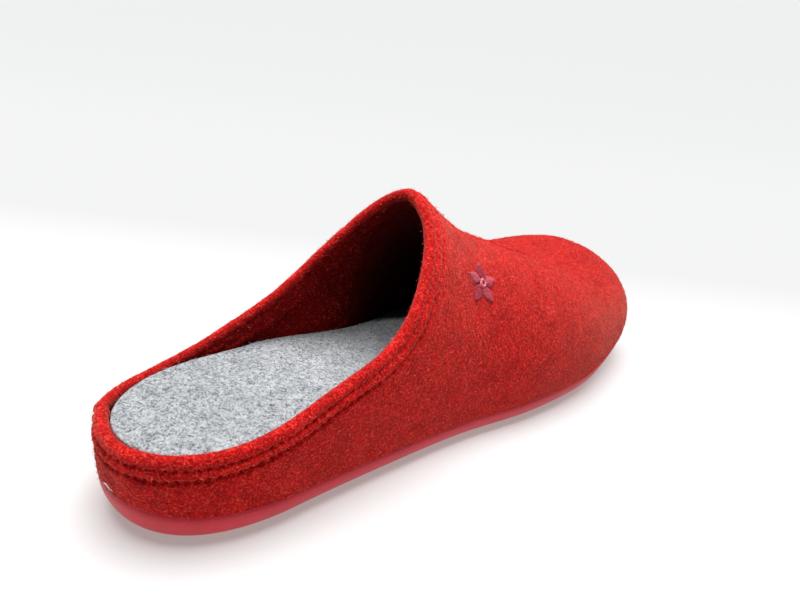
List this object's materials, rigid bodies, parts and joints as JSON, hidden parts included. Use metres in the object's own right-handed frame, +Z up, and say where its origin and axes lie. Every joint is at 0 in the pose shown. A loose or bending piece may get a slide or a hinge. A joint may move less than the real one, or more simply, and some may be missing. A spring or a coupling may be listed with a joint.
{
  "type": "felt slipper",
  "caption": "Right-foot felt house slipper, open at the heel, with a closed round toe, a thick felt insole and a smooth rubber outsole.",
  "frame": {"origin": "on the floor, in the middle of the shoe's length and width", "axes": "+Y from heel to toe, +X to the outer side of the foot, +Z up from the floor"},
  "size_m": [0.0968, 0.258, 0.0837],
  "materials": {
    "outsole": "smooth, semi-matte raspberry red",
    "insole": "pale grey speckled felt",
    "upper": "red wool felt"
  },
  "bodies": {
    "root": {"outsole": "outsole", "insole": "insole", "upper": "upper"}
  },
  "joints": []
}
